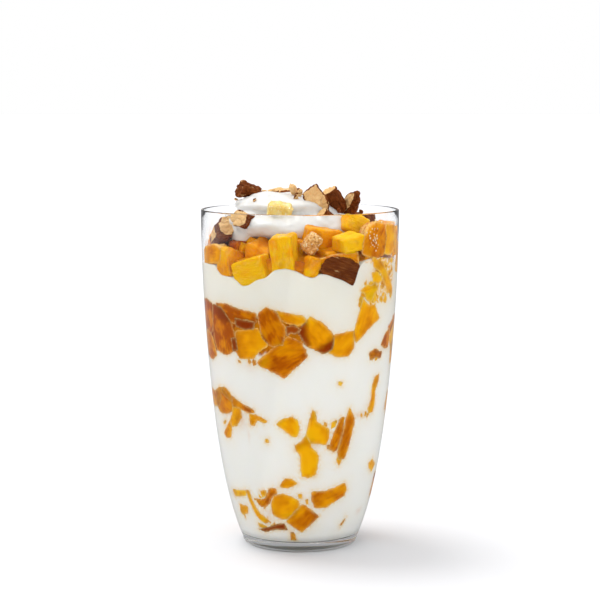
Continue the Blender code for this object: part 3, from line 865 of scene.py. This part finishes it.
def yogurtShape(angle, share):
    row = share * yogurt["rows"]
    floorRows, topRows, rows = yogurt["floorRows"], yogurt["topRows"], yogurt["rows"]
    lowest = wall["floor"] - 0.12
    top = yogurtTop(angle)
    up = np.clip((row - floorRows) / (rows - floorRows - topRows), 0, 1)
    height = lowest + (top - lowest) * up
    radius = innerRadius(height) + yogurt["intoWall"]
    radius = np.where(row < floorRows, radius * row / floorRows, radius)
    inward = np.clip((row - (rows - topRows)) / topRows, 0, 1)
    radius = radius * (1 - inward)
    height = height + np.where(inward > 0, (yogurt["middleHeight"] - top) * step(inward, 0, 0.6), 0)
    return aroundAxis(angle, radius, height)


yogurtMass = wrapped("yogurtMass", yogurt["columns"], yogurt["rows"], yogurtShape)
places = placesOf(yogurtMass) / mm
angles, heights = anglesOf(places), places[:, 2]
reachAt = innerRadius(heights)
juice = np.zeros(len(places))
for *_, corners in bottomChunks + lowerChunks + middleChunks:
    middle, _, outline = unrolled(corners)
    gap = (angles - middle[0] + 180) % 360 - 180
    flat = np.stack([np.radians(gap) * reachAt, heights - middle[1]], 1)
    near = (np.abs(flat) < np.abs(outline).max(0) + yogurt["juiceReach"]).all(1)
    distance, inside = toOutline(flat[near], outline)
    close = np.exp(-((distance / 1.0) ** 2)) * 0.75 + np.exp(-((distance / 3.5) ** 2)) * 0.2
    juice[near] = np.maximum(juice[near], np.where(inside, 0.7, close))
wander = bumps(places, 4, 31) * 1.3 + bumps(places, 1.6, 32) * 0.7
low, high = pulpLow(angles) + wander, pulpHigh(angles) + wander
pulp = step(heights, low - 0.5, low + 0.5) * (1 - step(heights, high - 0.5, high + 0.5))
pulp *= step(high - low, 0.2, 1.5)
stain, mush = patched(stains, angles, heights), patched(mushes, angles, heights)
setAttributes(yogurtMass, stain=stain, mush=mush, rich=0.1 + 0.7 * step(heights, 78, 120), juice=juice, pulp=pulp)


def yogurtFinish(name, marked):
    cream = Finish(name)
    place = cream.place()
    cloud = cream.noise(place, 90, 3)
    fine = cream.noise(place, 900, 4, 0.6)
    curd = cream.noise(place, 420, 3, 0.6)
    grit = cream.noise(place, 800, 3, 0.7, 0.8)
    # warmer and darker from 78 mm up to 120 mm
    warmth = cream.attribute("rich") if marked else 0.15
    colour = cream.mix((cloud - 0.5) * 0.45 + warmth, *yogurt["colours" if marked else "shadedDollopColours"])
    if marked:
        juiceMask = cream.attribute("juice") * (grit.smooth(0.36, 0.62) * 0.9 + 0.1)
        stainMask = cream.attribute("stain") * (curd.smooth(0.3, 0.65) * 0.7 + 0.3)
        colour = cream.mix(juiceMask * 0.75, colour, yogurt["juiceColour"])
        colour = cream.mix(stainMask * 0.75, colour, yogurt["stainColour"])
        mashed = cream.ramp(cream.noise(place, 300, 5, 0.62, 1.6), yogurt["mashed"])
        colour = cream.mix((cream.attribute("mush") + (curd - 0.5) * 0.8).smooth(0.3, 0.55), colour, mashed)
        # the pulp shows in the gaps between the pieces: orange, in blotches of dark red-brown that are painted shade
        darkness = cream.noise(place, 260, 4, 0.6, 0.8).smooth(0.45, 0.68)
        colour = cream.mix(cream.attribute("pulp"), colour, cream.mix(darkness, *yogurt["pulpAndCreviceShade"]))
    return cream.surface(
        Base_Color=colour,
        Roughness=(fine - 0.5) * 0.2 + 0.34,
        Specular_IOR_Level=0.0 if marked else 0.4,
        soft=(0.25, (1.0, 0.85, 0.65), 0.0012),
        Normal=cream.bump(curd * 0.7 + fine * 0.3, 0.00012 if marked else 0.0002),
    )


finishPiece(
    yogurtMass, yogurtFinish("YogurtInGlass", True), "yogurt",
    "yogurt_bottom", "yogurt_lower", "yogurt_middle", "yogurt_upper",
)
print("yogurt in the glass: done")


# The mashed mango under the cubes

heap = {
    "columns": 200,
    "rows": 90,
    "fromWall": 3.2,
    "below": 3,  # how far it reaches into the yogurt
    "floorShare": 0.2,  # of the rows, below it
    "sideShare": 0.3,  # of the rows, up its side
    "dome": 137,
    "domeRadius": 27,
    "domeDrop": 3,
}
heapTop = roundTheWall((
    -75, 131, -50, 129, -30, 130, -10, 131, 10, 129, 20, 131, 35, 132, 50, 138, 65, 140, 80, 138, 120, 134,
    180, 135, 240, 134, 285, 131,
), 3)


def domeAt(radius):
    return heap["dome"] - heap["domeDrop"] * (radius / heap["domeRadius"]) ** 2


def heapShape(angle, share):
    atWall = heapTop(angle)
    low = yogurtTop(angle) - heap["below"]
    floorShare, sideShare = heap["floorShare"], heap["sideShare"]
    rise = np.clip((share - floorShare) / sideShare, 0, 1)
    inward = np.clip((share - floorShare - sideShare) / (1 - floorShare - sideShare), 0, 1)
    height = low + (atWall - low) * rise
    wallReach = innerRadius(height) - heap["fromWall"]
    radius = np.where(share < floorShare, wallReach * share / floorShare, wallReach * (1 - inward))
    height = height + (domeAt(radius) - atWall) * step(inward, 0.02, 0.4)
    return aroundAxis(angle, radius, height)


heapCore = wrapped("heapCore", heap["columns"], heap["rows"], heapShape)
places, normals = placesOf(heapCore) / mm, normalsOf(heapCore)
reach = np.hypot(places[:, 0], places[:, 1])
atTop = step(innerRadius(places[:, 2]) - reach, 0.2, 2) * step(places[:, 2], 122, 128)
lumps = bumps(places, 5, 61) * 1.2 + bumps(places, 2, 62) * 0.6
places += normals * (lumps * atTop)[:, None]
setPlaces(heapCore, places * mm)
tone, deep = 0.42 + 0.25 * bumps(places, 6, 63), np.clip(0.18 + 0.5 * bumps(places, 4, 64), 0, 1)
setAttributes(heapCore, tone=tone, deep=deep, rim=0, grain=places + 30)
finishPiece(heapCore, topMango, "mango", "mango_upper")


# Mango cubes on top

# tone of each cube; the third, a deep red at 0.08, is painted shade for a cube lying in shadow behind the others
cubeTonesAndShade = (0.5, 0.65, 0.08, 1.08, 0.4, 0.92, 0.7, 0.5, 0.6, 1.05, 0.95, 0.5, 0.6, 0.5)
# painted shade: darker towards the right side of these cubes
cubeShades = {1: 0.2, 2: 0.3, 3: 0.7, 5: 1.0, 7: 0.4, 12: 0.5}  # how dark the right side is
cubes = {"voxel": 0.6, "swell": 0.3, "lumps": 0.6, "fine": 0.26, "slack": 0.8, "reached": 2.2, "intoWall": 0.12}


def namesOf(start):
    return sorted(name for name in nodes if name.startswith(start))


def cadCopy(node):
    source = nodes[node]
    piece = bpy.data.objects.new(node + "_fine", source.data.copy())
    scene.collection.objects.link(piece)
    mergeAndFaceOut(piece, 1e-5)
    return piece


def longAxes(places):
    # the piece's own axes, the longest first
    middle = places.mean(0)
    _, vectors = np.linalg.eigh(np.cov((places - middle).T))
    return middle, vectors[:, ::-1]


def addMangoLooks(piece, places, tone, deep, seed):
    chance = random.Random(seed)
    middle, axes = longAxes(places)
    grain = (places - middle) @ axes + chance.uniform(0, 400)
    setAttributes(piece, tone=tone, deep=np.clip(deep, 0, 1), rim=0, grain=grain)


def pressedToWall(places):
    # what comes near the glass lies flat and wet against it
    reach = np.hypot(places[:, 0], places[:, 1])
    gap = innerRadius(np.clip(places[:, 2], 0, wall["height"])) - reach
    slack, reached, into = cubes["slack"], cubes["reached"], cubes["intoWall"]
    pressed = np.where(gap < slack, -into, (gap - slack) / (reached - slack) * (reached + into) - into)
    pressed = np.where((gap > reached) | (places[:, 2] > wall["height"] - 3), gap, pressed)
    return places * np.stack([(reach + gap - pressed) / reach] * 2 + [np.ones(len(reach))], 1)


def mangoCube(node, tone, seed, shade=0.0):
    piece = cadCopy(node)
    places, normals = remeshed(piece, cubes["voxel"], 6)
    push = cubes["swell"] + cubes["lumps"] * bumps(places, 5, seed) + cubes["fine"] * bumps(places, 1.4, seed + 3)
    places = pressedToWall(places + normals * push[:, None])
    setPlaces(piece, places * mm)
    deep = 0.45 * step(-bumps(places, 5, seed + 5), 0.2, 0.6)
    # painted shade: the cube's right side darker
    deep = np.maximum(deep, shade * step(places[:, 0] - places[:, 0].mean(), 0.5, 4))
    addMangoLooks(piece, places, tone, deep, seed)
    return piece


chance = random.Random(21)
cubeNames = namesOf("mango_cube_")
cubePieces = []
for index, name in enumerate(cubeNames, 1):
    other = chance.uniform(0.3, 1.0)
    tone = cubeTonesAndShade[index - 1] if index <= len(cubeTonesAndShade) else other
    cubePieces.append(mangoCube(name, tone, 3000 + 10 * index, cubeShades.get(index, 0)))
mangoCubes = joined(cubePieces, "mangoCubes")
finishPiece(mangoCubes, topMango, "mango", *cubeNames)

# smaller dice between them
dice = {"count": 46, "size": (5.5, 9), "reach": 40, "seed": 5}
die = added(bpy.ops.mesh.primitive_cube_add, size=1)
modify(die, "BEVEL", width=0.1, segments=2, limit_method="NONE")
modify(die, "SUBSURF", levels=2, render_levels=2)
chance = random.Random(dice["seed"])
diePieces = []
for index in range(dice["count"]):
    angle, share = chance.uniform(-180, 180), chance.uniform(0.1, 0.82)
    radius = dice["reach"] * share
    level = domeAt(radius)
    level += (float(heapTop(angle)) - level) * float(step(np.array(share), 0.62, 1.0))
    piece = copyOf(die, f"die_{index}")
    sides = [chance.uniform(*dice["size"]) for _ in range(3)]
    lean = turned(chance, (-0.7, 0.7), (-0.7, 0.7), (0, 3.1))
    places = placesOf(piece)
    places *= 1 + 0.06 * bumps(places, 0.5, 4000 + index)[:, None]
    places = (places * sides) @ lean.T + aroundAxis(angle, radius, level + 0.5)
    setPlaces(piece, places * mm)
    deep = 0.3 * step(-bumps(places, 4, 4500 + index), 0.2, 0.6)
    addMangoLooks(piece, places, chance.uniform(0.3, 0.95), deep, index)
    shadeSmooth(piece)
    diePieces.append(piece)
bpy.data.objects.remove(die)
finishPiece(joined(diePieces, "mangoDice"), topMango, "mango")
print("mango on top: done")


# The dollop

dollop = {
    # middle, radii and lean about Y of each spoonful
    "lobes": (
        ((-5.5, 2, 150.2), (23.5, 19, 6.8), 3),
        ((-6.0, -4.5, 142.0), (27.5, 23, 7.6), 4),
        ((-23, -10, 140.3), (9.5, 10, 6.3), -8),
        ((13, -9, 142.5), (14.5, 13, 6.6), 10),
        ((3, 9, 142.5), (21, 15, 9), 0),
        ((-9, 0, 154.0), (13, 10, 3.2), 6),
    ),
    "voxel": 0.65,
    "smoothing": 4,
}
lobes = []
for middle, radii, lean in dollop["lobes"]:
    lobe = added(bpy.ops.mesh.primitive_ico_sphere_add, subdivisions=5, radius=1)
    way = placesOf(lobe)
    swell = 1 + 0.09 * bumps(way, 0.8, 70 + len(lobes)) + 0.035 * bumps(way, 0.35, 80 + len(lobes))
    tilt = np.array(Matrix.Rotation(math.radians(lean), 3, "Y"))
    setPlaces(lobe, ((way * swell[:, None] * radii) @ tilt.T + middle) * mm)
    lobes.append(lobe)
yogurtDollop = joined(lobes, "yogurtDollop")
places, normals = remeshed(yogurtDollop, dollop["voxel"], dollop["smoothing"])
turn = np.arctan2(places[:, 1] + 1, places[:, 0] + 5.5)
swirl = np.sin((places[:, 2] - 146) * 0.9 - 1.6 * turn + 1.2 * bumps(places, 12, 91))
ridges = 0.55 * swirl * step(places[:, 2], 142, 149) + 0.6 * bumps(places, 6, 92) + 0.2 * bumps(places, 2.2, 93)
setPlaces(yogurtDollop, (places + normals * ridges[:, None]) * mm)
finishPiece(yogurtDollop, yogurtFinish("YogurtDollop", False), "yogurt", "yogurt_dollop")
print("dollop: done")


# Chopped almonds

almonds = {
    "voxel": 0.33,
    "allSkin": ("almond_piece_03", "almond_piece_09"),
    "flatArea": 22,  # square millimetres: a CAD face this large is a cut one
    "ribs": (0.22, 1.0, 1.0),  # the wrinkles run along the nut
    "skin": ((0.0, (0.03, 0.005, 0.001)), (0.45, (0.15, 0.035, 0.006)), (1.0, (0.42, 0.14, 0.032))),
    "flesh": ((0.0, (0.34, 0.15, 0.045)), (0.45, (0.68, 0.38, 0.14)), (1.0, (0.92, 0.66, 0.34))),
}


def cutFaces(piece):
    # a tree of the faces, once flat ones are joined, and which of them are large
    copy = copyOf(piece, "flatCheck")
    inEditMode(copy, dissolve_limited={"angle_limit": math.radians(4)})
    tree = treeOf(copy.data)
    flat = [face.area / mm**2 > almonds["flatArea"] for face in copy.data.polygons]
    bpy.data.objects.remove(copy)
    return tree, flat


def almondPiece(node, seed):
    piece = cadCopy(node)
    tree, flat = cutFaces(piece)
    places, normals = remeshed(piece, almonds["voxel"], 2)
    cut = np.array([float(flat[tree.find_nearest(Vector(place * mm))[2]]) for place in places])
    middle, axes = longAxes(places)
    local = (places - middle) @ axes
    if node in almonds["allSkin"]:
        cut = 0.5 * step(bumps(local * (0.4, 1, 1), 1.6, seed + 8), 0.1, 0.5)
    along = local * almonds["ribs"]
    wrinkle = bumps(along, 1.5, seed) * 0.8 + bumps(along, 0.7, seed + 1) * 0.35
    crumbly = bumps(local, 1.6, seed + 2) * 0.7 + bumps(local, 0.7, seed + 3) * 0.5
    lumps = bumps(local, 4, seed + 4) * 0.6 + np.abs(bumps(local, 2.6, seed + 5)) * 0.5
    creases = 0.5 * step(np.abs(bumps(local, 3.2, seed + 7)), 0.14, 0.0)
    push = np.where(cut > 0.5, 0.5 * crumbly, 0.42 * wrinkle) + lumps - creases
    places += normals * push[:, None]
    if node in almonds["allSkin"]:
        places = pressedToWall(pressedToWall(places + normals * 0.35))
    setPlaces(piece, places * mm)
    setAttributes(piece, cut=cut, grain=local + 50 + seed % 300)
    return piece


def almondFinish():
    nut = Finish("RoastedAlmond")
    grain = nut.attribute("grain", "Vector")
    along = nut.scaled(grain, (0.18, 1.0, 1.0))
    wrinkle = nut.noise(along, 1.3, 5, 0.65, 0.4)
    speck = nut.noise(grain, 2.2, 4, 0.6)
    blotch = nut.noise(grain, 0.25, 2)
    skin = nut.ramp(wrinkle * 1.1 + (blotch - 0.5) * 0.6 - 0.08, almonds["skin"])
    flesh = nut.ramp(speck * 0.75 + blotch * 0.6, almonds["flesh"])
    mask = (nut.attribute("cut") + (speck - 0.5) * 0.3).smooth(0.42, 0.62)
    return nut.surface(
        Base_Color=nut.mix(mask, skin, flesh),
        Roughness=0.48 + (speck - 0.5) * 0.3 + mask * 0.15,
        Specular_IOR_Level=0.04,
        soft=(0.1, (1.0, 0.6, 0.3), 0.0006),
        Normal=nut.bump(wrinkle * 0.6 + speck * 0.4, 0.0006),
    )


almondNames = namesOf("almond_piece_")
pieces = [almondPiece(name, 5000 + 10 * index) for index, name in enumerate(almondNames)]
roastedAlmond = almondFinish()
finishPiece(joined(pieces, "almondPieces"), roastedAlmond, "almond", *almondNames)
print("almonds: done")


# Candied ginger

ginger = {
    "voxel": 0.4,
    "grainCount": 260,
    "wallGrains": 40,
    "grainSize": (0.25, 0.5),
    "wallPatch": ((48.5, 2.2), (138.5, 2.6)),  # the middle and spread of its angle and height
    "wallGrowth": 1.7,
    "sugarColours": ((0.90, 0.70, 0.32), (0.95, 0.90, 0.74)),
    "pale": ((0.3, (0.80, 0.52, 0.08)), (0.55, (0.86, 0.68, 0.22)), (0.75, (0.92, 0.84, 0.52))),
    "golden": ((0.3, (0.36, 0.13, 0.02)), (0.5, (0.75, 0.36, 0.06)), (0.68, (0.93, 0.74, 0.38))),
}


def gingerPiece(node, seed):
    piece = cadCopy(node)
    places, normals = remeshed(piece, ginger["voxel"], 2)
    push = 0.35 * bumps(places, 3, seed) + 0.3 * bumps(places, 1.1, seed + 1)
    setPlaces(piece, (places + normals * push[:, None]) * mm)
    setAttributes(piece, wrinkled=float(node.endswith("02")))
    return piece


def gingerFinish():
    candy = Finish("CandiedGinger")
    place = candy.place()
    crystal = candy.node("ShaderNodeTexVoronoi", {"feature": "F1"}, {"Vector": place, "Scale": 1500.0}, "Distance")
    cloud = candy.noise(place, 300, 3)
    fine = candy.noise(place, 1100, 4, 0.6)
    pale, golden = candy.ramp(cloud, ginger["pale"]), candy.ramp(fine, ginger["golden"])
    colour = candy.mix(candy.attribute("wrinkled"), pale, golden)
    colour = candy.mix(crystal.smooth(0.28, 0.0) * 0.55, colour, (0.95, 0.92, 0.80))
    return candy.surface(
        Base_Color=colour,
        Roughness=0.3 + fine * 0.25,
        soft=(0.4, (1.5, 1.0, 0.4), 0.001),
        Normal=candy.bump(fine * 0.5 - crystal * 0.7, 0.0005),
    )


gingerNames = namesOf("ginger_piece_")
pieces = [gingerPiece(name, 6000 + 10 * index) for index, name in enumerate(gingerNames)]
gingerPieces = joined(pieces, "gingerPieces")
finishPiece(gingerPieces, gingerFinish(), "ginger", *gingerNames)

# sugar grains on them
chance = random.Random(12)
surface, facing = placesOf(gingerPieces), normalsOf(gingerPieces)
grainOne = added(bpy.ops.mesh.primitive_cube_add, size=1)
grains = []
for index in range(ginger["grainCount"] + ginger["wallGrains"]):
    pick = chance.randrange(len(surface))
    size = chance.uniform(*ginger["grainSize"]) * mm
    spot = surface[pick] + facing[pick] * size * 0.2
    if index >= ginger["grainCount"]:
        size *= ginger["wallGrowth"]
        angle, height = (chance.gauss(*spread) for spread in ginger["wallPatch"])
        spot = np.array(aroundAxis(angle, float(innerRadius(height)) + 0.05, height)) * mm
    lean = turned(chance, (0, 3), (0, 3), (0, 3))
    piece = copyOf(grainOne, f"grain_{index}")
    sides = np.array([1, chance.uniform(0.7, 1), chance.uniform(0.6, 1)]) * size
    setPlaces(piece, (placesOf(piece) * sides) @ lean.T + spot)
    grains.append(piece)
bpy.data.objects.remove(grainOne)
sugar = Finish("SugarGrain")
sugarColour = sugar.mix(sugar.noise(sugar.place(), 700, 2), *ginger["sugarColours"])
sugarGrain = sugar.surface(Base_Color=sugarColour, Roughness=0.15, soft=(0.3, (1.0, 0.9, 0.7), 0.0004))
finishPiece(joined(grains, "sugarGrains"), sugarGrain, "ginger")
print("ginger: done")


# Almond crumbs

crumbs = {
    # middle, size, and whether it is pale flesh
    "spots": (
        ((-3, -2, 158.5), 3.4, 1), ((0, -4, 158.0), 2.2, 1), ((-12, 2, 158.0), 1.8, 1), ((17, -12, 150), 2.0, 0),
        ((12, -10, 152.5), 1.6, 1), ((-30, -8, 141), 1.8, 0), ((27, -6, 149), 2.0, 0), ((-20, -8, 153), 1.2, 0),
        ((5, 6, 158), 2.2, 1), ((-6, 20, 152), 2.4, 0), ((10, 14, 154), 1.8, 1), ((22, 12, 147), 2.6, 0),
    ),
}
chips = {
    # how many, the middle of the patch and its reach, size of a chip
    "patches": (
        (9, 7, -3, 9, (2.6, 5.0)), (5, -14, -4, 9, (1.6, 3.0)), (6, 19, 6, 8, (2.2, 4.6)),
        (9, -4, 16, 15, (2.2, 5.0)), (4, -25, 6, 7, (2, 4)),
    ),
    "corners": 11,
    "stretch": (0.62, 0.42, 0.3),
    "voxel": 0.07,  # as a share of its size
    "lowest": 0.13,  # metres: none lie below this
    "above": 0.2,
}


def chip(size, chance, seed):
    # a splinter with flat broken faces and skin on one side
    corners = []
    for _ in range(chips["corners"]):
        way = Vector([chance.gauss(0, 1) for _ in range(3)]).normalized()
        corners.append([part * size * share for part, share in zip(way, chips["stretch"])])
    mesh = bpy.data.meshes.new("chip")
    mesh.from_pydata([Vector(corner) * mm for corner in corners], [], [])
    piece = bpy.data.objects.new("chip", mesh)
    scene.collection.objects.link(piece)
    inEditMode(piece, convex_hull={})
    places, normals = remeshed(piece, size * chips["voxel"], 1)
    places += normals * (0.25 * bumps(places, 1.2, seed) + 0.12 * bumps(places, 0.5, seed + 1))[:, None]
    setPlaces(piece, places * mm)
    cut = step(places[:, 2] - 0.25 * size * chance.uniform(-0.6, 0.8), 0.3, 0.0)
    setAttributes(piece, cut=cut, grain=places + seed % 500)
    return piece


ground = joined([copyOf(piece, "ground") for piece in (yogurtDollop, mangoCubes)], "groundForChips")
groundTree = treeOf(ground.data)
bpy.data.objects.remove(ground)
chance = random.Random(4)
crumbPieces = []
for count, x, y, reach, sizes in chips["patches"]:
    for _ in range(count):
        size = chance.uniform(*sizes)
        spot = [(part + reach * chance.uniform(-1, 1)) * mm for part in (x, y)]
        spot = Vector((*spot, chips["above"]))
        hit = groundTree.ray_cast(spot, Vector((0, 0, -1)))[0]
        if hit is None or hit.z < chips["lowest"]:
            continue
        piece = chip(size, chance, 8000 + 10 * len(crumbPieces))
        lean = turned(chance, (-0.7, 0.7), (-0.7, 0.7), (0, 6))
        setPlaces(piece, placesOf(piece) @ lean.T + np.array(hit) + [0, 0, size * 0.12 * mm])
        crumbPieces.append(piece)

crumbOne = added(bpy.ops.mesh.primitive_ico_sphere_add, subdivisions=4, radius=1)
chance = random.Random(9)
for index, (middle, size, pale) in enumerate(crumbs["spots"]):
    piece = copyOf(crumbOne, f"crumb_{index}")
    places = placesOf(piece)
    places *= (1 + 0.45 * bumps(places, 0.9, 7000 + index) + 0.15 * bumps(places, 0.3, 7100 + index))[:, None]
    lean = turned(chance, (0, 3), (0, 3), (0, 3))
    local = places * (size * 0.75, size * 0.5, size * 0.42)
    setPlaces(piece, (local @ lean.T + middle) * mm)
    setAttributes(piece, cut=pale, grain=local + 700 + 10 * index)
    shadeSmooth(piece)
    crumbPieces.append(piece)
bpy.data.objects.remove(crumbOne)
finishPiece(joined(crumbPieces, "almondCrumbs"), roastedAlmond, "almond")
print("crumbs: done")
